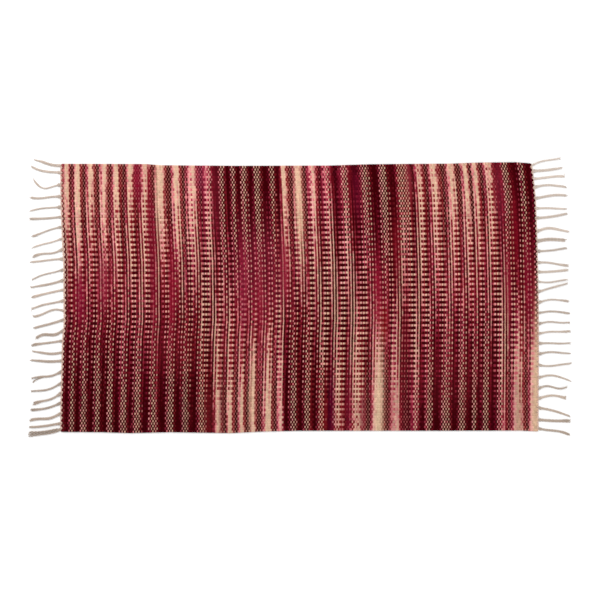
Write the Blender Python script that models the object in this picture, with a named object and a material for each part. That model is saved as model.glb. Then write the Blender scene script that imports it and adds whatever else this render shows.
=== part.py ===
"""Throw rug: a flat weft-faced panel with a knotted fringe at each end.

The rug lies face up on a level surface: X runs along its length, Y across it and Z up.
The origin is the middle of the box around the whole rug, at the height it lies on.
Its plan is drawn on a square grid, counted from the left and from the top.
"""
import math
from collections import namedtuple

import bmesh
import bpy
import numpy as np
from mathutils import Vector

# Real sizes, in metres
OVERALL_LENGTH = 1.200      # from fringe tip to fringe tip
RIB_TOP = 0.0050            # height of a rib's crest, where the weft rides over a warp
RIB_DEPTH = 0.0007          # from that crest down to the valley beside it
END_DROP = 0.0008           # how much lower the last picks lie at both ends
SELVEDGE_DROP = 0.0009      # how much lower the rounded long edges lie
END_ROUNDING = 0.0045       # length over which an end rounds down
SCALLOP = 0.0013            # how far the turns of the last picks swell out and draw in
STRIP_HEIGHT = 0.0038       # knotted heading that carries the fringe
LOCK_BASE = 0.0012          # height of a lock of no width
LOCK_RISE = 0.35            # added height for each metre of a lock's width
LOCK_TOP = 0.0043           # no lock is higher
GAP = 0.00034               # between the panel and each heading

# Counts
WARPS = 105                 # lengthwise ribs across the rug
STATIONS = 13               # evenly spaced sections along the panel

# The drawing grid
GRID_LENGTH = 543.7         # steps from tip to tip
STEP = OVERALL_LENGTH / GRID_LENGTH
MIDDLE_X = 299.88
MIDDLE_Y = 297.23
ROOT_DEPTH = 0.5            # steps by which a lock's root is sunk into its heading

COLLECTION = "throw_rug"
LOCKS_COLLECTION = "throw_rug_locks"

# An edge is a row of points: place is counted along it, line is where it lies
Edge = namedtuple("Edge", "place line")
TOP_EDGE = [
    Edge(62, 163.8), Edge(146, 164.0), Edge(160, 165.2), Edge(240, 165.8), Edge(330, 165.5),
    Edge(370, 164.2), Edge(450, 163.6), Edge(480, 162.5), Edge(516, 162.2), Edge(532, 163.4),
]
BOTTOM_EDGE = [
    Edge(61, 432.0), Edge(100, 432.2), Edge(130, 433.2), Edge(170, 432.2), Edge(230, 433.2),
    Edge(262, 431.6), Edge(300, 430.8), Edge(420, 430.8), Edge(520, 430.6), Edge(539, 431.6),
]
LEFT_EDGE = [
    Edge(164, 61.6), Edge(200, 62.0), Edge(225, 63.0), Edge(245, 64.2), Edge(262, 65.2),
    Edge(320, 65.6), Edge(340, 63.8), Edge(370, 63.0), Edge(400, 62.0), Edge(432, 61.4),
]
LEFT_RIM = [
    Edge(164, 59.8), Edge(205, 60.1), Edge(240, 61.4), Edge(265, 62.7), Edge(325, 63.1),
    Edge(340, 61.5), Edge(370, 60.8), Edge(400, 60.1), Edge(432, 59.8),
]
RIGHT_EDGE = [
    Edge(163, 530.4), Edge(175, 532.4), Edge(200, 534.8), Edge(230, 536.0), Edge(270, 537.0),
    Edge(300, 537.6), Edge(350, 537.8), Edge(400, 537.4), Edge(431, 537.4),
]
RIGHT_RIM = [
    Edge(163, 531.8), Edge(175, 533.8), Edge(200, 536.2), Edge(230, 537.4), Edge(270, 538.4),
    Edge(300, 539.0), Edge(350, 539.3), Edge(400, 539.0), Edge(431, 539.0),
]

# A lock of fringe, in steps: root and tip are its heights on the grid, reach is where the
# tip ends along the rug. bow bends it to one side and sway into an S; neck, body and end
# are its widths at the knot, along most of its length and at the tip.
Lock = namedtuple("Lock", "root reach tip bow sway neck body end")
LEFT_LOCKS = [
    Lock(165.2, 33.7, 159.7, 1.0, 0.6, 2.8, 3.0, 1.6),
    Lock(172.5, 30.8, 166.4, 1.9, -0.3, 3.0, 2.4, 2.4),
    Lock(184.6, 33.0, 179.6, 6.0, -1.5, 3.4, 1.3, 2.8),
    Lock(196.5, 29.5, 197.3, 0.7, -0.6, 3.4, 2.0, 2.4),
    Lock(207.0, 29.5, 210.9, -1.0, 0.2, 3.6, 1.6, 1.4),
    Lock(216.8, 29.2, 218.7, 0.6, 0.0, 2.6, 2.2, 2.6),
    Lock(226.8, 31.2, 236.9, -0.9, -0.2, 2.8, 1.6, 2.6),
    Lock(238.3, 31.5, 247.8, 0.2, 0.4, 2.4, 1.4, 1.5),
    Lock(249.0, 32.2, 256.8, 0.6, 1.1, 3.2, 1.9, 3.0),
    Lock(258.9, 29.7, 262.1, -0.2, -0.2, 3.0, 1.8, 1.8),
    Lock(269.5, 31.6, 279.8, -1.1, 0.5, 2.8, 1.4, 1.3),
    Lock(280.0, 30.2, 287.5, 0.8, 0.2, 3.2, 2.3, 1.3),
    Lock(289.6, 31.3, 297.4, -0.3, 0.1, 2.4, 2.1, 2.8),
    Lock(300.5, 31.0, 309.2, -0.9, 0.4, 3.0, 1.9, 1.8),
    Lock(310.9, 32.3, 317.0, -2.4, -1.2, 2.2, 1.9, 2.4),
    Lock(319.6, 33.0, 328.2, 0.4, 0.1, 2.8, 2.4, 2.4),
    Lock(330.0, 35.2, 338.5, 0.5, 1.8, 2.8, 3.2, 3.0),
    Lock(340.8, 31.0, 345.1, 0.1, 0.1, 2.6, 2.1, 3.1),
    Lock(352.4, 31.3, 351.2, 1.7, 0.4, 2.2, 2.5, 1.5),
    Lock(360.8, 29.8, 360.2, 0.9, 0.2, 2.6, 2.7, 2.0),
    Lock(371.3, 31.3, 378.3, 1.8, 0.9, 3.2, 2.2, 1.5),
    Lock(382.8, 30.7, 391.2, 3.0, 0.4, 2.8, 1.9, 1.6),
    Lock(393.0, 32.6, 404.2, 1.7, 0.8, 3.8, 2.2, 3.8),
    Lock(402.8, 30.2, 410.2, 2.0, 0.2, 3.0, 2.2, 2.9),
    Lock(413.2, 29.0, 420.5, 2.0, 1.0, 3.0, 2.8, 3.0),
    Lock(423.5, 28.7, 427.2, 0.8, -0.1, 2.8, 2.4, 2.2),
    Lock(429.5, 28.2, 434.3, 1.0, 0.1, 3.0, 4.6, 5.4),
]
RIGHT_LOCKS = [
    Lock(165.5, 560.8, 158.0, -1.4, -0.5, 1.8, 1.3, 1.1),
    Lock(170.9, 562.4, 167.6, 0.7, 0.0, 3.4, 2.6, 2.0),
    Lock(178.8, 564.8, 176.2, -0.5, 0.2, 2.4, 2.1, 2.4),
    Lock(187.3, 566.8, 186.9, -2.0, -0.3, 3.2, 2.1, 2.2),
    Lock(198.4, 567.8, 195.6, -1.6, 0.2, 3.0, 2.4, 2.4),
    Lock(208.4, 567.3, 208.9, -0.5, -0.2, 2.4, 1.8, 1.4),
    Lock(218.0, 567.5, 213.5, 0.8, 0.0, 3.0, 2.4, 2.2),
    Lock(231.8, 569.5, 231.6, -3.3, -0.8, 3.2, 2.6, 2.0),
    Lock(241.2, 566.7, 240.4, -1.5, -0.2, 3.8, 3.5, 3.4),
    Lock(251.2, 567.3, 247.7, 0.8, 0.0, 3.4, 1.9, 2.0),
    Lock(262.6, 569.2, 265.7, -0.8, -0.4, 2.8, 1.9, 2.6),
    Lock(271.9, 568.8, 270.0, 0.5, 0.1, 3.0, 2.2, 2.3),
    Lock(281.4, 568.3, 279.4, 1.5, 0.4, 1.9, 1.3, 1.3),
    Lock(292.0, 568.2, 283.3, -0.3, -0.1, 2.8, 1.8, 1.3),
    Lock(302.8, 569.6, 301.3, -2.4, -0.4, 3.0, 1.5, 2.4),
    Lock(313.2, 570.2, 313.6, -1.9, -0.2, 2.0, 1.8, 2.2),
    Lock(324.2, 570.2, 322.4, -1.2, -0.8, 2.8, 1.6, 1.4),
    Lock(334.0, 570.7, 331.2, -0.9, -0.5, 2.4, 1.6, 2.4),
    Lock(343.6, 571.4, 342.8, 0.2, -0.4, 3.0, 1.7, 1.3),
    Lock(354.4, 570.7, 353.5, -1.7, -0.5, 3.0, 1.8, 1.5),
    Lock(365.0, 571.7, 363.6, 1.3, 0.5, 2.6, 1.7, 1.6),
    Lock(378.0, 571.4, 381.3, -3.8, -0.4, 2.6, 1.8, 1.1),
    Lock(388.9, 567.8, 386.7, -0.5, -1.8, 2.6, 1.8, 1.6),
    Lock(398.8, 566.2, 398.5, -3.0, 0.0, 3.0, 2.1, 2.8),
    Lock(407.8, 570.3, 416.5, -1.1, 0.0, 3.2, 2.3, 1.9),
    Lock(419.8, 570.8, 420.9, 0.6, 0.0, 3.0, 2.7, 3.4),
    Lock(428.6, 570.0, 434.8, -0.9, 0.5, 2.8, 2.3, 3.0),
]

# A fork is a second tip: it leaves the lock of that number at a share of its length
Fork = namedtuple("Fork", "lock share reach tip width")
LEFT_FORKS = [Fork(20, 0.55, 32.7, 383.2, 1.5)]
RIGHT_FORKS = [Fork(23, 0.85, 566.6, 395.9, 1.2)]

# Where a lock's sections stand, as shares of its length, and which width each one has
Section = namedtuple("Section", "share width")
SECTIONS = [
    Section(0.02, "neck"), Section(0.15, "body"), Section(0.32, "body"), Section(0.49, "body"),
    Section(0.66, "body"), Section(0.83, "end"), Section(1.00, "end"),
]


def clear_scene():
    for old in list(bpy.data.objects):
        bpy.data.objects.remove(old, do_unlink=True)


def new_collection(name):
    collection = bpy.data.collections.new(name)
    bpy.context.scene.collection.children.link(collection)
    return collection


def new_material(name, colour, roughness):
    material = bpy.data.materials.new(name)
    material.use_nodes = True
    shader = material.node_tree.nodes["Principled BSDF"]
    shader.inputs["Base Color"].default_value = (*colour, 1.0)
    shader.inputs["Roughness"].default_value = roughness
    shader.inputs["Metallic"].default_value = 0.0
    return material


def mesh_object(name, bm, collection, material=None):
    mesh = bpy.data.meshes.new(name)
    bm.to_mesh(mesh)
    bm.free()
    made = bpy.data.objects.new(name, mesh)
    if material:
        mesh.materials.append(material)
    collection.objects.link(made)
    return made


def on_edge(edge, place):
    """Where an edge lies at one place along it."""
    return float(np.interp(place, [point.place for point in edge], [point.line for point in edge]))


def mix(low, high, share):
    return low + (high - low) * share


def to_world(x, y, height=0.0):
    """A point of the drawing grid, in metres."""
    return Vector(((x - MIDDLE_X) * STEP, (MIDDLE_Y - y) * STEP, height))


def plan_point(along, across):
    """Grid point of the panel at two shares: along its length and across its width."""
    rough_y = mix(TOP_EDGE[0].line, BOTTOM_EDGE[0].line, across)
    rough_x = mix(on_edge(LEFT_EDGE, rough_y), on_edge(RIGHT_EDGE, rough_y), along)
    y = mix(on_edge(TOP_EDGE, rough_x), on_edge(BOTTOM_EDGE, rough_x), across)
    return mix(on_edge(LEFT_EDGE, y), on_edge(RIGHT_EDGE, y), along), y


def scallop_at(row):
    """How far an end point is pushed out: rows 1, 3, 5... are ribs, those between valleys."""
    if row % 2 == 0:
        return 0.0
    return SCALLOP / STEP * (1 if row % 4 == 1 else -1)


def station_shares():
    """Shares of the panel's length where its sections stand, closer together at the ends."""
    rounding = END_ROUNDING / (STEP * (RIGHT_EDGE[0].line - LEFT_EDGE[0].line))
    even = [index / STATIONS for index in range(1, STATIONS)]
    return [0.0, rounding, *even, 1.0 - rounding, 1.0]


def build_panel(collection, material):
    """The woven cloth: a slab with a flat underside and a rib over every warp."""
    shares = station_shares()
    rows = 2 * WARPS
    last = len(shares) - 1
    bm = bmesh.new()
    bmesh.ops.create_grid(bm, x_segments=last, y_segments=rows, size=1.0)
    for vert in bm.verts:
        column = round((vert.co.x + 1.0) / 2.0 * last)
        row = round((1.0 - vert.co.y) / 2.0 * rows)
        x, y = plan_point(shares[column], row / rows)
        height = RIB_TOP if row % 2 else RIB_TOP - RIB_DEPTH
        if column in (0, last):
            x += scallop_at(row) * (-1 if column == 0 else 1)
            height -= END_DROP
        if row in (0, rows):
            height -= SELVEDGE_DROP
        vert.co = to_world(x, y, height)
    rim = [edge for edge in bm.edges if edge.is_boundary]
    wall = bmesh.ops.extrude_edge_only(bm, edges=rim)["geom"]
    for vert in (item for item in wall if isinstance(item, bmesh.types.BMVert)):
        vert.co.z = 0.0
    floor = [item for item in wall if isinstance(item, bmesh.types.BMEdge) and item.is_boundary]
    bmesh.ops.contextual_create(bm, geom=floor)
    bmesh.ops.recalc_face_normals(bm, faces=bm.faces)
    return mesh_object("woven_panel", bm, collection, material)


def lay_flat(curve_data):
    """The mesh of a curve, lowered onto the floor with its underside level."""
    holder = bpy.data.objects.new("holder", curve_data)
    bpy.context.scene.collection.objects.link(holder)
    evaluated = holder.evaluated_get(bpy.context.evaluated_depsgraph_get())
    mesh = bpy.data.meshes.new_from_object(evaluated)
    bpy.data.objects.remove(holder, do_unlink=True)
    bm = bmesh.new()
    bm.from_mesh(mesh)
    bmesh.ops.remove_doubles(bm, verts=bm.verts, dist=0.00005)
    return bm


def heading_strip(name, rim, outward, collection, material):
    """The narrow strip that the fringe is knotted in; its inner side follows the scallops."""
    rows = 2 * WARPS
    end_share = 0.0 if outward < 0 else 1.0
    inner = []
    for row in [0, *range(1, rows, 2), rows]:
        x, y = plan_point(end_share, row / rows)
        inner.append((x + outward * (scallop_at(row) + GAP / STEP), y))
    first, last = inner[0][1], inner[-1][1]
    outer = [(point.line, point.place) for point in rim if first < point.place < last]
    outer = [(on_edge(rim, first), first), *outer, (on_edge(rim, last), last)]
    curve = bpy.data.curves.new(name, "CURVE")
    curve.dimensions = "2D"
    curve.fill_mode = "BOTH"
    curve.extrude = STRIP_HEIGHT / 2
    outline = inner + outer[::-1]
    spline = curve.splines.new("POLY")
    spline.points.add(len(outline) - 1)
    spline.use_cyclic_u = True
    for point, (x, y) in zip(spline.points, outline):
        point.co = (*to_world(x, y), 1.0)
    bm = lay_flat(curve)
    for vert in bm.verts:
        vert.co.z = STRIP_HEIGHT if vert.co.z > 0 else 0.0
    return mesh_object(name, bm, collection, material)


def lock_point(lock, rim_x, share):
    """Grid point at a share of a lock's length, counted from the heading's rim."""
    y = mix(lock.root, lock.tip, share)
    y += lock.bow * math.sin(math.pi * share) + lock.sway * math.sin(2 * math.pi * share)
    return mix(rim_x, lock.reach, share), y


def lock_route(lock, rim_x, outward):
    """Grid points and widths down a lock, from its root inside the heading to its tip."""
    route = [(rim_x - outward * ROOT_DEPTH, lock.root, lock.neck)]
    for section in SECTIONS:
        x, y = lock_point(lock, rim_x, section.share)
        route.append((x, y, getattr(lock, section.width)))
    return route


def fork_route(fork, lock, rim_x):
    """Grid points and widths of a second tip, which starts inside its lock."""
    start_x, start_y = lock_point(lock, rim_x, fork.share)
    return [
        (start_x, start_y, fork.width),
        (mix(start_x, fork.reach, 0.5), mix(start_y, fork.tip, 0.5), fork.width),
        (fork.reach, fork.tip, fork.width),
    ]


def build_lock(name, route, collection):
    """One lock of yarn: a four-sided tube that rests level on the floor."""
    curve = bpy.data.curves.new(name, "CURVE")
    curve.dimensions = "3D"
    curve.twist_mode = "Z_UP"
    curve.bevel_depth = 1.0
    curve.bevel_resolution = 0
    curve.use_fill_caps = True
    spline = curve.splines.new("POLY")
    spline.points.add(len(route) - 1)
    for point, (x, y, width) in zip(spline.points, route):
        point.co = (*to_world(x, y), 1.0)
        point.radius = width * STEP / math.sqrt(2)
        point.tilt = math.pi / 4
    bm = lay_flat(curve)
    for vert in bm.verts:
        half = vert.co.z
        vert.co.z = min(LOCK_BASE + 2 * half * LOCK_RISE, LOCK_TOP) if half > 0 else 0.0
    bmesh.ops.recalc_face_normals(bm, faces=bm.faces)
    lock = mesh_object(name, bm, collection)
    lock.hide_render = True
    lock.display_type = "WIRE"
    return lock


def build_fringe(name, rim, locks, forks, outward, collection, material):
    """A heading with its locks grown into it, as one piece."""
    strip = heading_strip(name, rim, outward, collection, material)
    guides = bpy.data.collections.new(name + "_locks")
    bpy.data.collections[LOCKS_COLLECTION].children.link(guides)
    for index, lock in enumerate(locks):
        route = lock_route(lock, on_edge(rim, lock.root), outward)
        build_lock(f"{name}_lock_{index + 1:02d}", route, guides)
    for fork in forks:
        lock = locks[fork.lock]
        route = fork_route(fork, lock, on_edge(rim, lock.root))
        build_lock(f"{name}_fork_{fork.lock + 1:02d}", route, guides)
    grown = strip.modifiers.new("locks", "BOOLEAN")
    grown.operation = "UNION"
    grown.operand_type = "COLLECTION"
    grown.collection = guides
    grown.solver = "EXACT"
    return strip


def main():
    clear_scene()
    rug = new_collection(COLLECTION)
    new_collection(LOCKS_COLLECTION)
    weave = new_material("space_dyed_weft", (0.210, 0.045, 0.050), 0.85)
    yarn = new_material("ecru_warp_yarn", (0.560, 0.450, 0.370), 0.90)
    build_panel(rug, weave)
    build_fringe("fringe_left", LEFT_RIM, LEFT_LOCKS, LEFT_FORKS, -1, rug, yarn)
    build_fringe("fringe_right", RIGHT_RIM, RIGHT_LOCKS, RIGHT_FORKS, 1, rug, yarn)


main()
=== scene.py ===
import math

import bmesh
import bpy
import numpy as np
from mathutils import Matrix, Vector


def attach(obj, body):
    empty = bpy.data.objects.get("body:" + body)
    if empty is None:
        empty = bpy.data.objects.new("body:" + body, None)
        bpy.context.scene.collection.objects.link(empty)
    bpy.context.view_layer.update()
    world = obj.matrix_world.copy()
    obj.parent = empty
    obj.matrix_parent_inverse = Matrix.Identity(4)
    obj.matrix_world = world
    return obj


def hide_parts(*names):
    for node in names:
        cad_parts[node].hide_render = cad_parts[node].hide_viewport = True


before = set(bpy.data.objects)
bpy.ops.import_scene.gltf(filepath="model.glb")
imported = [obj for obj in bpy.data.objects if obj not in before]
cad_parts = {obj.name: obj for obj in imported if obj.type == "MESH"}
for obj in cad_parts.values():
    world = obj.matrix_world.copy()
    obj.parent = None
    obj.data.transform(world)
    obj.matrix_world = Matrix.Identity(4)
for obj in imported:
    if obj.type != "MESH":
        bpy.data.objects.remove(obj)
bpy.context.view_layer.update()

random = np.random.default_rng(41)

# The rug is drawn on the CAD's grid: steps of about 2.2 mm, counted from the left and the top
rug = {
    "length": 1.200,            # tip to tip
    "gridLength": 543.7,
    "middle": (299.88, 297.23),
    # the cloth's four edges, and the outer edges of the two headings
    "top": [(62, 163.8), (146, 164.0), (160, 165.2), (240, 165.8), (330, 165.5),
            (370, 164.2), (450, 163.6), (480, 162.5), (516, 162.2), (532, 163.4)],
    "bottom": [(61, 432.0), (100, 432.2), (130, 433.2), (170, 432.2), (230, 433.2),
               (262, 431.6), (300, 430.8), (420, 430.8), (520, 430.6), (539, 431.6)],
    "left": [(164, 61.6), (200, 62.0), (225, 63.0), (245, 64.2), (262, 65.2),
             (320, 65.6), (340, 63.8), (370, 63.0), (400, 62.0), (432, 61.4)],
    "right": [(163, 530.4), (175, 532.4), (200, 534.8), (230, 536.0), (270, 537.0),
              (300, 537.6), (350, 537.8), (400, 537.4), (431, 537.4)],
    "leftRim": [(164, 59.8), (205, 60.1), (240, 61.4), (265, 62.7), (325, 63.1),
                (340, 61.5), (370, 60.8), (400, 60.1), (432, 59.8)],
    "rightRim": [(163, 531.8), (175, 533.8), (200, 536.2), (230, 537.4), (270, 538.4),
                 (300, 539.0), (350, 539.3), (400, 539.0), (431, 539.0)],
}
step = rug["length"] / rug["gridLength"]
near = 1e-6                     # places closer than this are the same


def readChart(chart, place):
    return np.interp(place, [point[0] for point in chart], [point[1] for point in chart])


def mix(low, high, share):
    return low + (high - low) * share


def planPoint(along, across):
    # grid point of the cloth at shares of its length and width
    roughY = mix(rug["top"][0][1], rug["bottom"][0][1], across)
    roughX = mix(readChart(rug["left"], roughY), readChart(rug["right"], roughY), along)
    y = mix(readChart(rug["top"], roughX), readChart(rug["bottom"], roughX), across)
    return mix(readChart(rug["left"], y), readChart(rug["right"], y), along), y


def toWorld(x, y):
    return (x - rug["middle"][0]) * step, (rug["middle"][1] - y) * step


def addPiece(name, mesh, node):
    piece = bpy.data.objects.new(name, mesh)
    bpy.context.scene.collection.objects.link(piece)
    mesh.shade_smooth()
    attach(piece, "root")
    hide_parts(node)
    return piece


# Yarn

yarnLook = {
    "wobbleScale": 0.7,         # how the twist wanders along a yarn
    "plyRound": 0.6,            # below 1 a ply is flatter on top
    "fibreDetail": 3.0,
    "fibreRoughness": 0.65,
    "fibreHeight": 0.8,         # next to a ply, which is 1 high
    "shade": 0.45,              # share of the dye everywhere, and what plies and fibres add: painted shade, darker in the grooves between plies and where the fibres lie low
    "plyShade": 0.35,
    "fibreShade": 0.5,
    "roughness": 0.92,
    "specular": 0.02,
    "sheenRoughness": 0.55,
}


def newGroup(name, inputs, outputs):
    group = bpy.data.node_groups.new(name, "ShaderNodeTree")
    for socketName, kind, value in inputs:
        socket = group.interface.new_socket(socketName, in_out="INPUT", socket_type=kind)
        if value is not None:
            socket.default_value = value
    for socketName, kind in outputs:
        group.interface.new_socket(socketName, in_out="OUTPUT", socket_type=kind)
    return group, group.nodes.new("NodeGroupInput"), group.nodes.new("NodeGroupOutput")


def mathNode(nodes, links, operation, first, second):
    node = nodes.new("ShaderNodeMath")
    node.operation = operation
    for socket, value in zip(node.inputs, (first, second)):
        if isinstance(value, (int, float)):
            socket.default_value = value
        else:
            links.new(value, socket)
    return node.outputs[0]


def makeYarnGroup():
    # ply twist and fibres of a spun yarn; Strand is (across, along) in yarn widths
    group, start, end = newGroup(
        "spunYarn",
        [("Strand", "NodeSocketVector", None), ("Twist", "NodeSocketFloat", 1.0),
         ("Plies", "NodeSocketFloat", 1.0), ("Fuzz", "NodeSocketFloat", 30.0)],
        [("Height", "NodeSocketFloat"), ("Shade", "NodeSocketFloat")])
    nodes, links = group.nodes, group.links
    split = nodes.new("ShaderNodeSeparateXYZ")
    links.new(start.outputs["Strand"], split.inputs[0])
    wobble = nodes.new("ShaderNodeTexNoise")
    wobble.inputs["Scale"].default_value = yarnLook["wobbleScale"]
    links.new(start.outputs["Strand"], wobble.inputs["Vector"])
    across = mathNode(nodes, links, "MULTIPLY", split.outputs["X"], start.outputs["Plies"])
    along = mathNode(nodes, links, "MULTIPLY", split.outputs["Y"], start.outputs["Twist"])
    turn = mathNode(nodes, links, "ADD", across, along)
    turn = mathNode(nodes, links, "ADD", turn, wobble.outputs["Fac"])
    ply = mathNode(nodes, links, "PINGPONG", turn, 0.5)
    ply = mathNode(nodes, links, "MULTIPLY", ply, 2.0)
    ply = mathNode(nodes, links, "POWER", ply, yarnLook["plyRound"])
    fibres = nodes.new("ShaderNodeTexNoise")
    fibres.inputs["Detail"].default_value = yarnLook["fibreDetail"]
    fibres.inputs["Roughness"].default_value = yarnLook["fibreRoughness"]
    links.new(start.outputs["Strand"], fibres.inputs["Vector"])
    links.new(start.outputs["Fuzz"], fibres.inputs["Scale"])
    fuzz = mathNode(nodes, links, "MULTIPLY", fibres.outputs["Fac"], yarnLook["fibreHeight"])
    links.new(mathNode(nodes, links, "ADD", ply, fuzz), end.inputs["Height"])
    # painted shade: the dye is darker where the ply and fibre height is low, in the grooves
    # between plies
    shade = mathNode(nodes, links, "MULTIPLY", ply, yarnLook["plyShade"])
    lift = mathNode(nodes, links, "MULTIPLY", fibres.outputs["Fac"], yarnLook["fibreShade"])
    shade = mathNode(nodes, links, "ADD", shade, lift)
    links.new(mathNode(nodes, links, "ADD", shade, yarnLook["shade"]), end.inputs["Shade"])
    return group


yarnGroup = makeYarnGroup()

yarnFinish = {
    "weft": {"twist": 2.4, "plies": 1.0, "fuzz": 4.0, "bump": 0.5, "depth": 0.0004, "sheen": 0.0},
    "warp": {"twist": 1.0, "plies": 1.0, "fuzz": 6.0, "bump": 0.6, "depth": 0.0004, "sheen": 0.1},
}


def makeYarnMaterial(name, finish):
    # a matt yarn whose dye, with the painted light and shade of the cloth, is in a colour
    # attribute, with its UV map in yarn widths
    material = bpy.data.materials.new(name)
    material.use_nodes = True
    nodes, links = material.node_tree.nodes, material.node_tree.links
    shader = nodes["Principled BSDF"]
    shader.inputs["Roughness"].default_value = yarnLook["roughness"]
    shader.inputs["Specular IOR Level"].default_value = yarnLook["specular"]
    shader.inputs["Sheen Weight"].default_value = finish["sheen"]
    shader.inputs["Sheen Roughness"].default_value = yarnLook["sheenRoughness"]
    dyeAndPaintedLight = nodes.new("ShaderNodeAttribute")
    dyeAndPaintedLight.attribute_name = "dyeAndPaintedLight"
    place = nodes.new("ShaderNodeUVMap")
    place.uv_map = "strand"
    yarn = nodes.new("ShaderNodeGroup")
    yarn.node_tree = yarnGroup
    yarn.inputs["Twist"].default_value = finish["twist"]
    yarn.inputs["Plies"].default_value = finish["plies"]
    yarn.inputs["Fuzz"].default_value = finish["fuzz"]
    links.new(place.outputs["UV"], yarn.inputs["Strand"])
    # the dye times the painted shade of the plies and fibres
    tint = nodes.new("ShaderNodeVectorMath")
    tint.operation = "SCALE"
    links.new(dyeAndPaintedLight.outputs["Color"], tint.inputs[0])
    links.new(yarn.outputs["Shade"], tint.inputs["Scale"])
    links.new(tint.outputs[0], shader.inputs["Base Color"])
    bump = nodes.new("ShaderNodeBump")
    bump.inputs["Strength"].default_value = finish["bump"]
    bump.inputs["Distance"].default_value = finish["depth"]
    links.new(yarn.outputs["Height"], bump.inputs["Height"])
    links.new(bump.outputs["Normal"], shader.inputs["Normal"])
    return material


# The dyed weft. Two strands lie in each pick, both dyed from cream through crimson and near
# black and back. The slow strand's repeat fits the width, so its zones drift slowly along the
# rug. The quick strand moves on by a whole repeat every few picks, which gives the stripes.

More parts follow.
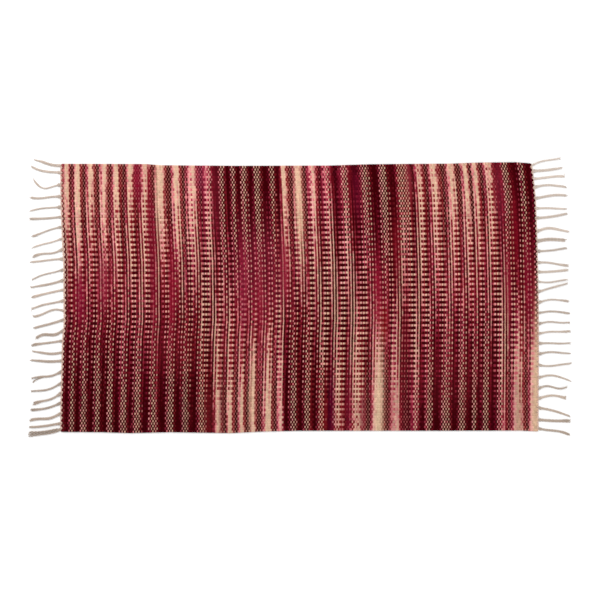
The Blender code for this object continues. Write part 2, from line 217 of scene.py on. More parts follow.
dyes = {
    "order": [
        (0.00, (211, 175, 146)), (0.09, (209, 169, 143)), (0.13, (196, 124, 118)),
        (0.17, (124, 30, 36)), (0.25, (98, 10, 18)), (0.33, (72, 2, 10)), (0.38, (56, 0, 4)),
        (0.58, (56, 0, 4)), (0.645, (80, 3, 20)), (0.71, (108, 14, 34)), (0.77, (152, 43, 66)),
        (0.81, (212, 116, 122)), (0.86, (232, 162, 158)), (0.92, (219, 174, 151)),
        (1.00, (211, 175, 146)),
    ],
    "slowTurn": 0.50,           # how much of its repeat a strand uses in one pass, out and back
    "quickOut": 0.53,
    "quickBack": 0.47,
    "quickWidth": (0.85, 0.77), # below 1 the quick strand's light part is longer; top, bottom
    "lightPart": 0.4,           # share of the repeat to either side of cream that this acts on
    "slip": 0.03,               # how unevenly the dye falls from pick to pick
    "cellSlip": 0.022,          # the same from rib to rib
    "mottle": 0.10,
    "mottleLimits": (0.7, 1.3),
    "paintedBorderShade": 0.77,              # painted shade: how much of a darker neighbour's colour is drawn at a strand's borders
    "sunk": 0.29,               # painted shade drawn on the whole of the slow strand, which lies lower
    "darkest": 0.005,           # the least, in linear light, that shows through
    "paintedLightFalloff": (1.06, 0.91),       # painted light: the yarn is drawn brighter at the top edge and darker at the bottom edge
    # Where the slow strand is in its repeat at the top edge. Places are counted in grid steps
    # where a strand crosses the middle of the rug's width.
    "zones": [
        (54, 0.03), (70, 0.03), (82, 0.01), (96, 0.01), (110, 0.02), (124, 0.05), (132, 0.08),
        (140, 0.105), (148, 0.10), (158, 0.05), (168, 0.03), (176, -0.02), (182, -0.06),
        (187, -0.08), (196, -0.11), (205, -0.18), (210, -0.26), (214, -0.355), (218, -0.40),
        (226, -0.45), (233, -0.46), (238, -0.47), (267, -0.47), (272, -0.53), (276, -0.60),
        (281, -0.66), (285, -0.92), (288, -1.0), (293, -1.08), (298, -1.12), (302, -1.08),
        (307, -1.06), (311, -1.18), (315, -1.20), (317, -1.05), (320, -1.23), (328, -1.23),
        (333, -1.27), (337, -1.31), (343, -1.345), (349, -1.30), (354, -1.33), (360, -1.375),
        (368, -1.40), (378, -1.47), (386, -1.50), (393, -1.625), (398, -1.67), (406, -1.70),
        (412, -1.73), (416, -1.77), (424, -1.86), (431, -1.925), (445, -1.93), (462, -1.96),
        (474, -1.955), (487, -1.91), (497, -1.86), (504, -1.70), (512, -1.57), (534, -1.52),
        (554, -1.50),
    ],
    # where the quick strand is cream at the top edge, and half the width of that cream
    "stripes": [57.5, 69, 80.5, 91, 105, 117.5, 131, 145.5, 162.5, 178.5, 195, 210.5, 224.5,
                237, 247.5, 260.5, 275.5, 286.5, 301, 316, 331.5, 348.5, 369.5, 388.5, 407.5,
                423.5, 439, 456, 471, 480, 494, 510, 528, 541],
    "stripeHalf": 0.4,
    "wideStripes": {162.5: 2.0, 247.5: 2.2, 260.5: 2.2, 407.5: 4.6, 439: 2.0},
    "stripeReach": (0.03, 0.09),    # share of the repeat used in a stripe and in a wide one
    # how far the picks bow to the right at the top edge and at the bottom edge
    "topBow": [(60, 1.5), (80, 1), (93, 3.4), (108, 3.6), (119, 2.5), (135, 3), (148, 4.5),
               (160, 2.5), (181, 1.5), (195, 1.5), (218, 3.2), (232, 1), (281, 1), (300, 1.5),
               (315, 1), (330, 0), (360, 0), (380, 0.5), (500, 0), (518, 1), (530, 0)],
    "bottomBow": [(60, 1.5), (71, 2), (82, 1), (93, 3.5), (119, 3), (135, 2.5), (148, 4),
                  (181, 3), (197, 2), (213, 4.5), (232, 2.5), (248, 3), (265, 1.5), (280, 2.5),
                  (295, 3), (321, 0), (340, 0), (375, 0.5), (395, 1.5), (415, 0.5), (435, -0.5),
                  (460, 0)],
    # runs where both strands tend to one colour: place and share of the way across, half
    # lengths in both directions, strength, colour
    "runs": [
        (153.5, 0.34, 4.6, 0.30, 0.55, (124, 14, 38)), (172, 0.47, 3.6, 0.17, 0.6, (134, 18, 40)),
        (80, 0.50, 4.0, 0.09, 0.8, (126, 16, 44)), (104, 0.44, 5.0, 0.10, 0.6, (136, 30, 52)),
        (140.5, 0.04, 2.6, 0.09, 0.8, (134, 16, 44)), (205, 0.04, 6.0, 0.06, 0.2, (160, 48, 78)),
        (219, 0.14, 5.0, 0.16, 0.4, (116, 24, 40)), (243, 0.44, 3.4, 0.20, 0.45, (142, 28, 54)),
        (260, 0.52, 4.0, 0.14, 0.5, (128, 16, 36)), (285, 0.38, 3.4, 0.12, 0.7, (142, 28, 50)),
        (360, 0.11, 4.0, 0.09, 0.25, (124, 18, 50)), (378, 0.48, 4.6, 0.13, 0.6, (140, 20, 44)),
        (385, 0.60, 3.0, 0.07, 0.6, (128, 10, 20)), (398, 0.32, 3.6, 0.12, 0.5, (118, 14, 28)),
        (402, 0.85, 6.0, 0.30, 0.2, (104, 18, 32)), (503, 0.12, 4.4, 0.12, 0.3, (146, 40, 62)),
        (508, 0.46, 3.4, 0.14, 0.6, (136, 22, 44)), (517, 0.26, 3.4, 0.16, 0.5, (124, 12, 30)),
        (529, 0.44, 4.0, 0.16, 0.6, (128, 16, 40)), (518, 0.92, 5.0, 0.16, 0.3, (116, 34, 36)),
        (537.4, 0.88, 3.4, 0.26, 1.0, (212, 176, 146)),
        (380.5, 0.91, 3.6, 0.17, 0.65, (214, 182, 150)),
        (302, 0.12, 3.0, 0.16, 0.6, (216, 178, 146)), (162, 0.10, 2.6, 0.14, 0.5, (216, 178, 150)),
        (393, 0.93, 4.0, 0.12, 0.3, (130, 50, 52)), (214, 0.95, 4.0, 0.10, 0.3, (104, 30, 36)),
        (253.5, 0.87, 2.4, 0.13, 0.5, (212, 176, 144)), (190, 0.92, 9.0, 0.14, 0.2, (60, 4, 12)),
        (450, 0.80, 44.0, 0.12, 0.07, (168, 46, 60)), (176, 0.69, 22.0, 0.09, 0.10, (168, 46, 60)),
        (333, 0.93, 3.0, 0.14, 0.6, (76, 0, 34)), (350, 0.93, 3.2, 0.12, 0.5, (124, 18, 44)),
        (364, 0.94, 3.4, 0.08, 0.5, (124, 40, 52)), (224, 0.92, 2.6, 0.12, 0.4, (110, 50, 50)),
        (210, 0.90, 3.0, 0.12, 0.4, (96, 14, 22)), (413, 0.05, 3.0, 0.08, 0.5, (140, 50, 60)),
        (262, 0.40, 24.0, 0.16, 0.2, (156, 44, 68)), (65.6, 0.70, 2.4, 0.56, 0.9, (84, 8, 18)),
        (65.4, 0.07, 2.0, 0.12, 0.5, (150, 60, 64)),
    ],
    "runPeak": 1.6,             # a run is flat where this falls to 1, and then fades out
    "runFade": 1.2,
    "middleEnds": (65.4, 537.6),    # where the cloth ends at the middle of its width
}

weave = {
    "warps": 105,
    "strands": 341,             # along the rug, two to a pick
    "bands": 5,                 # pieces that the cloth is split in
    "top": 0.0050,
    "ribDepth": 0.0014,
    "strandDepth": 0.0006,
    "crestPower": 0.75,         # below 1 a rib is flatter on top
    "strandDip": 0.4,           # share of the strand depth that is left between two ribs
    "edgeHeight": 0.0025,       # of the middle of the cloth
    "endRound": 0.0011,
    "sideTop": 0.0034,          # height at the two long sides
    "topRows": 4,               # rows of faces over a rib, on the face and on the back
    "backRows": 2,
    "ribToStrand": 1.82,        # width of a rib next to a strand's
    "scallop": 0.0017,
    "scallopReach": 3,          # strands
    "strandShift": 0.10,        # unevenness, in strand widths, rib widths and metres
    "ribShift": 0.05,
    "lift": 0.00015,
}


def toLinear(colour):
    # from screen colours of 0 to 255 to linear light
    share = np.asarray(colour, float) / 255
    return np.where(share <= 0.04045, share / 12.92, ((share + 0.055) / 1.055) ** 2.4)


def dyeAt(phase):
    places = [stop[0] for stop in dyes["order"]]
    rows = toLinear([stop[1] for stop in dyes["order"]])
    return np.stack([np.interp(phase % 1.0, places, rows[:, band]) for band in range(3)], -1)


def weftColours():
    # one colour for each strand over each warp, on the face and then on the back, with painted
    # light that falls off from the top edge to the bottom edge
    strands, warps = weave["strands"], weave["warps"]
    index = np.arange(strands)
    place = mix(*dyes["middleEnds"], (index + 0.5) / strands)
    knots = []
    for turn, stripe in enumerate(dyes["stripes"]):
        half = dyes["wideStripes"].get(stripe, dyes["stripeHalf"])
        reach = dyes["stripeReach"][1 if stripe in dyes["wideStripes"] else 0]
        knots += [(stripe - half, turn - reach), (stripe + half, turn + reach)]
    slowSlip = random.normal(0, dyes["slip"], strands)
    quickSlip = random.normal(0, dyes["slip"], strands)
    sides = []
    for side in (0, 1):
        rows = []
        for rib in range(warps):
            across = (rib + 0.5) / warps
            bow = readChart(dyes["topBow"], place) * max(1 - 2 * across, 0)
            bow = bow + readChart(dyes["bottomBow"], place) * max(2 * across - 1, 0)
            slow = readChart(dyes["zones"], place - bow) + slowSlip
            quick = readChart(knots, place - bow) + quickSlip
            goesBack = (rib + side) % 2
            isSlow = (index + goesBack) % 2 == 0
            if goesBack:
                slowPhase = slow - dyes["slowTurn"] * across
                quickPhase = quick - dyes["quickBack"] * across
            else:
                slowPhase = slow + dyes["slowTurn"] * across
                quickPhase = quick + dyes["quickOut"] * across
            fromCream = (quickPhase + 0.5) % 1.0 - 0.5
            isLight = np.abs(fromCream) < dyes["lightPart"]
            fromCream *= np.where(isLight, mix(*dyes["quickWidth"], across), 1.0)
            phase = np.where(isSlow, slowPhase, fromCream)
            row = dyeAt(phase + random.normal(0, dyes["cellSlip"], strands))
            for runPlace, runAcross, halfLength, halfAcross, strength, colour in dyes["runs"]:
                far = ((place - runPlace) / halfLength) ** 2
                far = far + ((across - runAcross) / halfAcross) ** 2
                share = np.clip(dyes["runPeak"] * np.exp(-far * dyes["runFade"]), 0, 1)
                row = mix(row, toLinear(colour), strength * share[:, None])
            # painted light: the colour is brighter towards the top edge and darker towards the
            # bottom edge
            row = row * mix(*dyes["paintedLightFalloff"], across)
            mottle = random.normal(1.0, dyes["mottle"], (strands, 1))
            rows.append(row * mottle.clip(*dyes["mottleLimits"]))
        sides.append(np.array(rows))
    return sides


def unevenness():
    strands, warps = weave["strands"], weave["warps"]
    return {
        "strand": random.normal(0, weave["strandShift"], (warps + 1, strands + 1)),
        "rib": random.normal(0, weave["ribShift"], (warps + 1, strands + 1)),
        "lift": random.normal(0, weave["lift"], (warps + 1, strands + 1)),
    }


def clothPoints(column, place, isBack, uneven):
    # column counts half strands from the left end, place counts ribs from the top edge
    strands, warps = weave["strands"], weave["warps"]
    strand = np.minimum(column // 2, strands)
    rib = np.minimum(np.floor(place + near).astype(int), warps - 1)
    inRib = place - rib
    crest = np.sin(np.pi * np.clip(inRib, 0, 1))
    inStrand = column / 2 - strand
    ends = (column == 0) | (column == 2 * strands)
    shift = np.where(inStrand == 0, uneven["strand"][rib, strand], 0.0) * crest
    shift = np.where(ends, 0.0, shift)
    valley = np.round(place).astype(int)
    isValley = np.abs(place - valley) < near
    wander = np.where(isValley & (valley > 0) & (valley < warps),
                      uneven["rib"][np.clip(valley, 0, warps), strand], 0.0)
    x, y = planPoint((column / 2 + shift) / strands, (place + wander) / warps)
    swell = np.where(rib % 2 == 0, 1.0, -1.0) * crest * weave["scallop"] / step
    outward = np.where(column < strands, -1.0, 1.0)
    fromEnd = np.minimum(column, 2 * strands - column) / 2
    x = x + outward * swell * np.clip(1 - fromEnd / weave["scallopReach"], 0, 1)
    height = weave["top"] - weave["ribDepth"] * (1 - crest ** weave["crestPower"])
    dip = weave["strandDepth"] * mix(weave["strandDip"], 1.0, crest)
    height = height - np.where(inStrand == 0, dip, 0.0)
    height = height + uneven["lift"][rib, strand] * crest
    height = np.minimum(height, weave["top"])
    outer = (np.abs(place) < near) | (np.abs(place - warps) < near)
    height = np.where(outer, weave["sideTop"], height)
    height = np.where(ends, weave["edgeHeight"] + weave["endRound"], height)
    height = np.where(isBack, 2 * weave["edgeHeight"] - height, height)
    worldX, worldY = toWorld(x, y)
    return np.stack([worldX, worldY, np.maximum(height, 0.0)], -1)


def paintedShadeColours(cells, side, rib, strand, ribStep, strandStep):
    # painted shade: a light strand is drawn darker at its borders and where it dips between darker
    # ones
    own = cells[rib, strand]
    shown = np.maximum(cells, dyes["darkest"])
    around = np.sqrt(shown[np.maximum(rib - 1, 0), strand]
                     * shown[np.minimum(rib + 1, weave["warps"] - 1), strand])
    sunk = np.where((rib + strand + side) % 2 == 0, dyes["sunk"], 0.0)[:, None]
    own = own ** (1 - sunk) * np.minimum(own, around) ** sunk
    own = np.repeat(own[:, None], 4, axis=1)
    ribs = np.clip(rib[:, None] + ribStep, 0, weave["warps"] - 1)
    strands = np.clip(strand[:, None] + strandStep, 0, weave["strands"] - 1)
    besides = np.minimum(own, shown[rib[:, None], strands])
    beyond = np.minimum(own, shown[ribs, strand[:, None]])
    return own ** (1 - dyes["paintedBorderShade"]) * np.sqrt(besides * beyond) ** dyes["paintedBorderShade"]


def buildBand(band, uneven, colours, material):
    # a grid wrapped round: the face, a wall, the back, and a wall again
    strands, warps = weave["strands"], weave["warps"]
    perBand = warps // weave["bands"]
    first = band * perBand
    topRows, backRows = perBand * weave["topRows"], perBand * weave["backRows"]
    rows = topRows + 1 + backRows + 1
    columns = 2 * strands
    bm = bmesh.new()
    bmesh.ops.create_grid(bm, x_segments=columns, y_segments=rows, size=1.0)
    mesh = bpy.data.meshes.new(f"woven_band_{band + 1}")
    bm.to_mesh(mesh)
    points = np.zeros(len(mesh.vertices) * 3)
    mesh.vertices.foreach_get("co", points)
    points = points.reshape(-1, 3)
    column = np.round((points[:, 0] + 1) / 2 * columns).astype(int)
    row = np.round((1 - points[:, 1]) / 2 * rows).astype(int)
    isBack = (row > topRows) & (row <= topRows + 1 + backRows)
    backPlace = perBand - (row - topRows - 1) / weave["backRows"]
    topPlace = np.where(row == rows, 0, row / weave["topRows"])
    place = first + np.where(isBack, backPlace, topPlace)
    mesh.vertices.foreach_set("co", clothPoints(column, place, isBack, uneven).ravel())
    corners = np.zeros(len(mesh.loops), dtype=np.int32)
    mesh.loops.foreach_get("vertex_index", corners)
    faces = corners.reshape(-1, 4)
    strand = column[faces].min(1) // 2
    faceRow = row[faces].min(1)
    onBack = faceRow > topRows
    rib = np.where(onBack, perBand - 1 - (faceRow - topRows - 1) // weave["backRows"],
                   faceRow // weave["topRows"])
    rib = first + np.clip(rib, 0, perBand - 1)
    cornerColumn, cornerPlace = column[faces], place[faces]
    valley = np.round(cornerPlace).astype(int)
    isValley = np.abs(cornerPlace - valley) < near
    ribStep = np.where(isValley, np.where(valley > rib[:, None], 1, -1), 0)
    isRight = cornerColumn // 2 > strand[:, None]
    strandStep = np.where(cornerColumn % 2 == 0, np.where(isRight, 1, -1), 0)
    # painted shade at the strand borders and in the rib valleys, on the face and on the back
    chosen = np.where(onBack[:, None, None],
                      paintedShadeColours(colours[1], 1, rib, strand, ribStep, strandStep),
                      paintedShadeColours(colours[0], 0, rib, strand, ribStep, strandStep))
    # the colour attribute holds the dye together with the painted light falloff and the painted
    # shade
    dyeAndPaintedLight = mesh.color_attributes.new("dyeAndPaintedLight", "FLOAT_COLOR", "CORNER")
    rgba = np.concatenate([chosen, np.ones((*chosen.shape[:2], 1))], 2)
    dyeAndPaintedLight.data.foreach_set("color", rgba.ravel())
    layer = mesh.uv_layers.new(name="strand")
    uv = np.stack([column[corners] / 2, place[corners] * weave["ribToStrand"]], -1)
    layer.data.foreach_set("uv", uv.ravel())
    bm.free()
    bm = bmesh.new()
    bm.from_mesh(mesh)
    bmesh.ops.remove_doubles(bm, verts=bm.verts, dist=1e-7)
    bmesh.ops.recalc_face_normals(bm, faces=bm.faces)
    bm.to_mesh(mesh)
    bm.free()
    mesh.materials.append(material)
    return addPiece(f"woven_band_{band + 1}", mesh, "woven_panel")


weftMaterial = makeYarnMaterial("spaceDyedWeft", yarnFinish["weft"])
uneven = unevenness()
colours = weftColours()
bands = [buildBand(band, uneven, colours, weftMaterial) for band in range(weave["bands"])]
print("cloth woven")

# Heading and fringe: warp ends in ecru yarn. A lock is root, reach, tip, bow, sway and
# its widths at the neck, the body and the end, in grid steps.

fringe = {
    "left": [
        (165.2, 33.7, 159.7, 1.0, 0.6, 2.8, 3.0, 1.6),
        (172.5, 30.8, 166.4, 1.9, -0.3, 3.0, 2.4, 2.4),
        (184.6, 33.0, 179.6, 6.0, -1.5, 3.4, 1.3, 2.8),
        (196.5, 29.5, 197.3, 0.7, -0.6, 3.4, 2.0, 2.4),
        (207.0, 29.5, 210.9, -1.0, 0.2, 3.6, 1.6, 1.4),
        (216.8, 29.2, 218.7, 0.6, 0.0, 2.6, 2.2, 2.6),
        (226.8, 31.2, 236.9, -0.9, -0.2, 2.8, 1.6, 2.6),
        (238.3, 31.5, 247.8, 0.2, 0.4, 2.4, 1.4, 1.5),
        (249.0, 32.2, 256.8, 0.6, 1.1, 3.2, 1.9, 3.0),
        (258.9, 29.7, 262.1, -0.2, -0.2, 3.0, 1.8, 1.8),
        (269.5, 31.6, 279.8, -1.1, 0.5, 2.8, 1.4, 1.3),
        (280.0, 30.2, 287.5, 0.8, 0.2, 3.2, 2.3, 1.3),
        (289.6, 31.3, 297.4, -0.3, 0.1, 2.4, 2.1, 2.8),
        (300.5, 31.0, 309.2, -0.9, 0.4, 3.0, 1.9, 1.8),
        (310.9, 32.3, 317.0, -2.4, -1.2, 2.2, 1.9, 2.4),
        (319.6, 33.0, 328.2, 0.4, 0.1, 2.8, 2.4, 2.4),
        (330.0, 35.2, 338.5, 0.5, 1.8, 2.8, 3.2, 3.0),
        (340.8, 31.0, 345.1, 0.1, 0.1, 2.6, 2.1, 3.1),
        (352.4, 31.3, 351.2, 1.7, 0.4, 2.2, 2.5, 1.5),
        (360.8, 29.8, 360.2, 0.9, 0.2, 2.6, 2.7, 2.0),
        (371.3, 31.3, 378.3, 1.8, 0.9, 3.2, 2.2, 1.5),
        (382.8, 30.7, 391.2, 3.0, 0.4, 2.8, 1.9, 1.6),
        (393.0, 32.6, 404.2, 1.7, 0.8, 3.8, 2.2, 3.8),
        (402.8, 30.2, 410.2, 2.0, 0.2, 3.0, 2.2, 2.9),
        (413.2, 29.0, 420.5, 2.0, 1.0, 3.0, 2.8, 3.0),
        (423.5, 28.7, 427.2, 0.8, -0.1, 2.8, 2.4, 2.2),
        (429.5, 28.2, 434.3, 1.0, 0.1, 3.0, 4.6, 5.4),
    ],
    "right": [
        (165.5, 560.8, 158.0, -1.4, -0.5, 1.8, 1.3, 1.1),
        (170.9, 562.4, 167.6, 0.7, 0.0, 3.4, 2.6, 2.0),
        (178.8, 564.8, 176.2, -0.5, 0.2, 2.4, 2.1, 2.4),
        (187.3, 566.8, 186.9, -2.0, -0.3, 3.2, 2.1, 2.2),
        (198.4, 567.8, 195.6, -1.6, 0.2, 3.0, 2.4, 2.4),
        (208.4, 567.3, 208.9, -0.5, -0.2, 2.4, 1.8, 1.4),
        (218.0, 567.5, 213.5, 0.8, 0.0, 3.0, 2.4, 2.2),
        (231.8, 569.5, 231.6, -3.3, -0.8, 3.2, 2.6, 2.0),
        (241.2, 566.7, 240.4, -1.5, -0.2, 3.8, 3.5, 3.4),
        (251.2, 567.3, 247.7, 0.8, 0.0, 3.4, 1.9, 2.0),
        (262.6, 569.2, 265.7, -0.8, -0.4, 2.8, 1.9, 2.6),
        (271.9, 568.8, 270.0, 0.5, 0.1, 3.0, 2.2, 2.3),
        (281.4, 568.3, 279.4, 1.5, 0.4, 1.9, 1.3, 1.3),
        (292.0, 568.2, 283.3, -0.3, -0.1, 2.8, 1.8, 1.3),
        (302.8, 569.6, 301.3, -2.4, -0.4, 3.0, 1.5, 2.4),
        (313.2, 570.2, 313.6, -1.9, -0.2, 2.0, 1.8, 2.2),
        (324.2, 570.2, 322.4, -1.2, -0.8, 2.8, 1.6, 1.4),
        (334.0, 570.7, 331.2, -0.9, -0.5, 2.4, 1.6, 2.4),
        (343.6, 571.4, 342.8, 0.2, -0.4, 3.0, 1.7, 1.3),
        (354.4, 570.7, 353.5, -1.7, -0.5, 3.0, 1.8, 1.5),
        (365.0, 571.7, 363.6, 1.3, 0.5, 2.6, 1.7, 1.6),
        (378.0, 571.4, 381.3, -3.8, -0.4, 2.6, 1.8, 1.1),
        (388.9, 567.8, 386.7, -0.5, -1.8, 2.6, 1.8, 1.6),
        (398.8, 566.2, 398.5, -3.0, 0.0, 3.0, 2.1, 2.8),
        (407.8, 570.3, 416.5, -1.1, 0.0, 3.2, 2.3, 1.9),
        (419.8, 570.8, 420.9, 0.6, 0.0, 3.0, 2.7, 3.4),
        (428.6, 570.0, 434.8, -0.9, 0.5, 2.8, 2.3, 3.0),
    ],
    "rootInset": 0.5,           # how far a lock starts inside the heading
    "yarns": 4,                 # warp ends in a lock, one fewer in a slim one
    "slimLock": 1.6,
    "yarnWidth": 0.0024,
    "lockPoints": 23,
    "lockTwist": 2.6,           # turns from root to tip
    "twistRange": (0.8, 1.2),
    "uneven": 0.07,             # how much shorter a yarn may end, as a share of the lock
    "widthPlaces": (0, 0.06, 0.15, 0.66, 0.85, 1.0),    # neck, neck, body, body, end, end
    "loosePlace": 0.85,         # from here on the yarns spread or close up
    "loose": (0.9, 1.5),
    "leastSwing": 0.0004,
    "taperPlace": 0.9,
    "taper": 0.6,
    "forkYarns": 2,
    "forkSize": 0.7,
    "forkOverlap": 0.1,
    "knotRadius": 0.0008,
    "knotPoints": 12,
    "knotPlace": (1.5, 0.75),   # grid steps from a root to its knot, and between the two turns
    "knotLean": (0.08, 0.7, 0.35),  # share of the lock that it leans with, and how much
    "knotBite": 0.6,
    "knotSlant": 0.0004,
    "hairs": 4,                 # loose fibres at a tip
    "hairPoints": 4,
    "hairRadius": 0.00022,
    "hairFrom": (0.82, 0.94),
    "hairTo": 1.01,
    "hairSpread": 1.1,
    "hairCurl": 1.5,
    "hairHeight": (0.3, 0.5),
    # second tips: number of the lock, where it parts, reach, tip and width
    "forks": {"left": {20: (0.55, 32.7, 383.2, 1.5)}, "right": {23: (0.85, 566.6, 395.9, 1.2)}},
    "top": 0.0043,
    "headingPitch": 5.11,       # grid steps in one turn of the heading
    "headingPoints": 8,         # in one turn
    "headingTop": 0.0031,
    "headingInset": 0.6,
    "headingOverlap": 0.9,      # how far it laps over the end of the cloth
    "headingPly": (0.55, 0.0004),   # radius: a share of half its width, and metres more
    # from the top edge to the bottom edge of the rug
    "colours": {"left": ((205, 188, 175), (172, 154, 140)),
                "right": ((208, 193, 181), (184, 166, 151))},
    "colourPlaces": (165, 265), # where the first one is, and how far on the second is
    "headingColour": (224, 190, 174),
    "lockMottle": 0.025,
    "yarnShades": (0.9, 1.06),
    "hairShade": 1.04,
    "knotShade": 0.97,
}


def tube(points, radii, closed):
    curve = bpy.data.curves.new("yarn", "CURVE")
    curve.dimensions = "3D"
    curve.bevel_depth = 1.0
    curve.bevel_resolution = 1
    curve.use_fill_caps = True
    spline = curve.splines.new("POLY")
    spline.points.add(len(points) - 1)
    spline.use_cyclic_u = closed
    for target, point, radius in zip(spline.points, points, radii):
        target.co = (*point, 1.0)
        target.radius = radius
    holder = bpy.data.objects.new("yarn", curve)
    bpy.context.scene.collection.objects.link(holder)
    evaluated = holder.evaluated_get(bpy.context.evaluated_depsgraph_get())
    mesh = bpy.data.meshes.new_from_object(evaluated)
    bpy.data.objects.remove(holder, do_unlink=True)
    bpy.data.curves.remove(curve)
    return mesh


def lockCentre(lock, rim, outward, share, fork=None):
    root, reach, tip, bow, sway = lock[:5]
    y = mix(root, tip, share) + bow * math.sin(math.pi * share)
    y += sway * math.sin(2 * math.pi * share)
    x = mix(float(readChart(rim, root)) - outward * fringe["rootInset"], reach, share)
    if fork and share > fork[0]:
        apart = (share - fork[0]) / (1 - fork[0])
        x, y = mix(x, fork[1], apart), mix(y, fork[2], apart)
    return x, y


def lockYarns(lock, rim, outward, fork=None):
    # centre lines and radii of the yarns twisted into one lock
    neck, body, end = lock[5:]
    if fork:
        neck = body = end = fork[3]
    start = random.uniform(0, 2 * math.pi)
    twist = fringe["lockTwist"] * random.uniform(*fringe["twistRange"]) * 2 * math.pi
    count = fringe["yarns"] if body > fringe["slimLock"] else fringe["yarns"] - 1
    radius = fringe["yarnWidth"] / 2
    if fork:
        count, radius = fringe["forkYarns"], radius * fringe["forkSize"]
    lines = []
    for yarn in range(count):
        stop = 1.0 - random.uniform(0, fringe["uneven"])
        angle = start + yarn * 2 * math.pi / count
        loose = random.uniform(*fringe["loose"])
        points, radii = [], []
        for index in range(fringe["lockPoints"]):
            share = index / (fringe["lockPoints"] - 1) * stop
            if fork and share < fork[0] - fringe["forkOverlap"]:
                continue
            x, y = lockCentre(lock, rim, outward, share, fork)
            width = np.interp(share, fringe["widthPlaces"], [neck, neck, body, body, end, end])
            swing = max((width * step - 2 * radius) / 2, fringe["leastSwing"])
            swing *= np.interp(share, [fringe["loosePlace"], 1.0], [1.0, loose])
            turn = angle + twist * share
            worldX, worldY = toWorld(x, y)
            height = fringe["top"] / 2 + (fringe["top"] / 2 - radius) * math.sin(turn)
            points.append((worldX, worldY + swing * math.cos(turn), height))
            radii.append(radius * np.interp(share, [fringe["taperPlace"], 1.0],
                                            [1.0, fringe["taper"]]))
        lines.append((points, radii))
    return lines


def lockHairs(lock, rim, outward):
    # a few loose fibres that stand out at the tip
    lines = []
    for hair in range(fringe["hairs"]):
        first = random.uniform(*fringe["hairFrom"])
        aside = random.normal(0, fringe["hairSpread"])
        points = []
        for index in range(fringe["hairPoints"]):
            part = index / (fringe["hairPoints"] - 1)
            x, y = lockCentre(lock, rim, outward, mix(first, fringe["hairTo"], part))
            worldX, worldY = toWorld(x, y + aside * part ** fringe["hairCurl"])
            height = fringe["top"] * random.uniform(*fringe["hairHeight"])
            points.append((worldX, worldY, height))
        lines.append((points, [fringe["hairRadius"]] * len(points)))
    return lines


def lockKnot(lock, rim, outward):
    # the knot that holds a lock at its root: two turns round it
    lines = []
    radius = fringe["knotRadius"]
    first, apart = fringe["knotPlace"]
    leanShare, lean, moreLean = fringe["knotLean"]
    for turn in (0, 1):
        x, y = lockCentre(lock, rim, outward, 0)
        x += outward * (first + apart * turn)
        y += (lockCentre(lock, rim, outward, leanShare)[1] - y) * (lean + moreLean * turn)
        worldX, worldY = toWorld(x, y)
        halfWidth = lock[5] * step / 2 - radius * fringe["knotBite"]
        points = []
        for index in range(fringe["knotPoints"]):
            angle = 2 * math.pi * index / fringe["knotPoints"]
            height = fringe["top"] / 2 + (fringe["top"] / 2 - radius) * math.sin(angle)
            points.append((worldX + fringe["knotSlant"] * math.sin(angle),
                           worldY + halfWidth * math.cos(angle), height))
        lines.append((points, [radius] * len(points)))
    return lines


def headingYarns(rim, outward):
    # two plies twined round each other down the end of the cloth
    inner = rug["left"] if outward < 0 else rug["right"]
    top, bottom = rim[0][0] + fringe["headingInset"], rim[-1][0] - fringe["headingInset"]
    count = int((bottom - top) / fringe["headingPitch"] * fringe["headingPoints"])
    share, more = fringe["headingPly"]
    lines = []
    for ply in (0, 1):
        points, radii = [], []
        for index in range(count + 1):
            y = mix(top, bottom, index / count)
            outerX = float(readChart(rim, y))
            innerX = float(readChart(inner, y)) - outward * fringe["headingOverlap"]
            middle = (outerX + innerX) / 2
            half = abs(outerX - innerX) / 2 * step
            turn = 2 * math.pi * (y - top) / fringe["headingPitch"] + ply * math.pi
            radius = min(share * half + more, fringe["headingTop"] / 2)
            worldX, worldY = toWorld(middle, y)
            worldX += (half - radius) * math.cos(turn)
            height = fringe["headingTop"] / 2
            height += (fringe["headingTop"] / 2 - radius) * math.sin(turn)
            points.append((worldX, worldY, height))
            radii.append(radius)
        lines.append((points, radii))
    return lines


def buildFringe(side, rim, outward, material):
    node = f"fringe_{side}"
    bm = bmesh.new()
    tints = []
    groups = [(headingYarns(rim, outward), fringe["headingColour"], False)]
    upper, lower = (np.array(colour, float) for colour in fringe["colours"][side])
    firstPlace, apart = fringe["colourPlaces"]
    for number, lock in enumerate(fringe[side]):
        colour = mix(upper, lower, (lock[0] - firstPlace) / apart)
        colour = colour * random.normal(1.0, fringe["lockMottle"])
        groups.append((lockYarns(lock, rim, outward), colour, False))
        groups.append((lockHairs(lock, rim, outward), colour * fringe["hairShade"], False))
        groups.append((lockKnot(lock, rim, outward), colour * fringe["knotShade"], True))
        if number in fringe["forks"][side]:
            fork = fringe["forks"][side][number]
            groups.append((lockYarns(lock, rim, outward, fork), colour, False))
    for lines, colour, closed in groups:
        for points, radii in lines:
            mesh = tube(points, radii, closed)
            length = sum((Vector(a) - Vector(b)).length for a, b in zip(points, points[1:]))
            before = len(bm.faces)
            bm.from_mesh(mesh)
            bpy.data.meshes.remove(mesh)
            shade = random.uniform(*fringe["yarnShades"])
            tints += [(toLinear(colour) * shade, length)] * (len(bm.faces) - before)
    uvLayer = bm.loops.layers.uv.active or bm.loops.layers.uv.new("strand")
    dyeAndPaintedLight = bm.loops.layers.float_color.new("dyeAndPaintedLight")
    for face, (tint, length) in zip(bm.faces, tints):
        for loop in face.loops:
            loop[dyeAndPaintedLight] = (*tint, 1.0)
            uv = loop[uvLayer].uv
            loop[uvLayer].uv = (uv.y * 2, uv.x * length / fringe["yarnWidth"])
    mesh = bpy.data.meshes.new(node + "_yarns")
    bm.to_mesh(mesh)
    bm.free()
    mesh.uv_layers[0].name = "strand"
    mesh.materials.append(material)
    return addPiece(node + "_yarns", mesh, node)


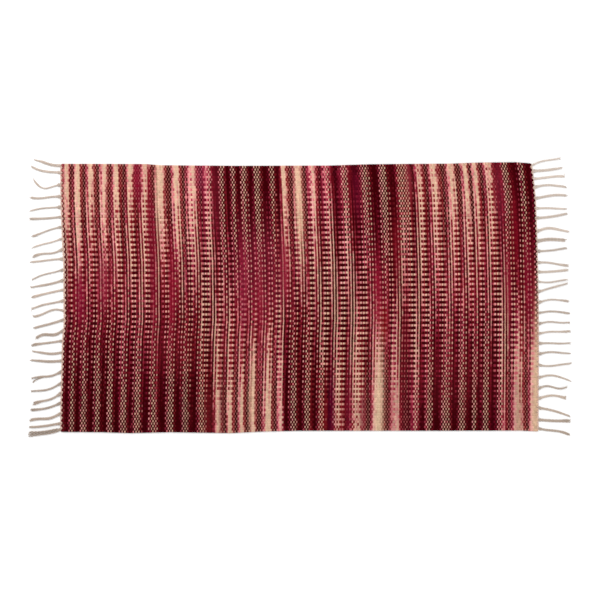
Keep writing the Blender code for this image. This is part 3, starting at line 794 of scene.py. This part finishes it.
warpMaterial = makeYarnMaterial("ecruWarp", yarnFinish["warp"])
leftFringe = buildFringe("left", rug["leftRim"], -1, warpMaterial)
rightFringe = buildFringe("right", rug["rightRim"], 1, warpMaterial)
print("fringe knotted")

# Floor, light and camera

studio = {
    "floorSize": 30.0,
    "floorColour": (0.92, 0.92, 0.92),
    "floorRoughness": 0.9,
    "floorSpecular": 0.2,
    "floorGap": 0.0002,
    # place, size and power
    "lights": {"keyLight": ((-1.2, 1.8, 2.6), 1.6, 60), "fillLight": ((1.8, -1.4, 2.4), 2.2, 30)},
    "skyStrength": 0.75,
    "lens": 100.0,
    "sensor": 36.0,
    "view": 600 * step,         # width that the camera takes in
    "aim": (300.0, 300.0),
}


def makeFloor():
    bm = bmesh.new()
    bmesh.ops.create_grid(bm, x_segments=4, y_segments=4, size=studio["floorSize"] / 2)
    bmesh.ops.translate(bm, verts=bm.verts, vec=(0, 0, -studio["floorGap"]))
    mesh = bpy.data.meshes.new("floor")
    bm.to_mesh(mesh)
    bm.free()
    floor = bpy.data.objects.new("floor", mesh)
    bpy.context.scene.collection.objects.link(floor)
    material = bpy.data.materials.new("paleFloor")
    material.use_nodes = True
    shader = material.node_tree.nodes["Principled BSDF"]
    shader.inputs["Base Color"].default_value = (*studio["floorColour"], 1.0)
    shader.inputs["Roughness"].default_value = studio["floorRoughness"]
    shader.inputs["Specular IOR Level"].default_value = studio["floorSpecular"]
    mesh.materials.append(material)


def addLight(name, place, size, power):
    light = bpy.data.lights.new(name, "AREA")
    light.shape = "SQUARE"
    light.size = size
    light.energy = power
    lamp = bpy.data.objects.new(name, light)
    lamp.location = place
    lamp.rotation_euler = (-Vector(place)).to_track_quat("-Z", "Y").to_euler()
    bpy.context.scene.collection.objects.link(lamp)


makeFloor()
for name, (place, size, power) in studio["lights"].items():
    addLight(name, place, size, power)
world = bpy.data.worlds.new("studio")
world.use_nodes = True
sky = world.node_tree.nodes["Background"]
sky.inputs["Color"].default_value = (1, 1, 1, 1)
sky.inputs["Strength"].default_value = studio["skyStrength"]
bpy.context.scene.world = world
bpy.context.scene.view_settings.view_transform = "Standard"

cameraData = bpy.data.cameras.new("camera")
cameraData.lens = studio["lens"]
cameraData.sensor_width = studio["sensor"]
camera = bpy.data.objects.new("camera", cameraData)
aimX, aimY = toWorld(*studio["aim"])
distance = studio["view"] * studio["lens"] / studio["sensor"]
camera.location = (aimX, aimY, distance + weave["top"])
bpy.context.scene.collection.objects.link(camera)
bpy.context.scene.camera = camera
print("studio set")
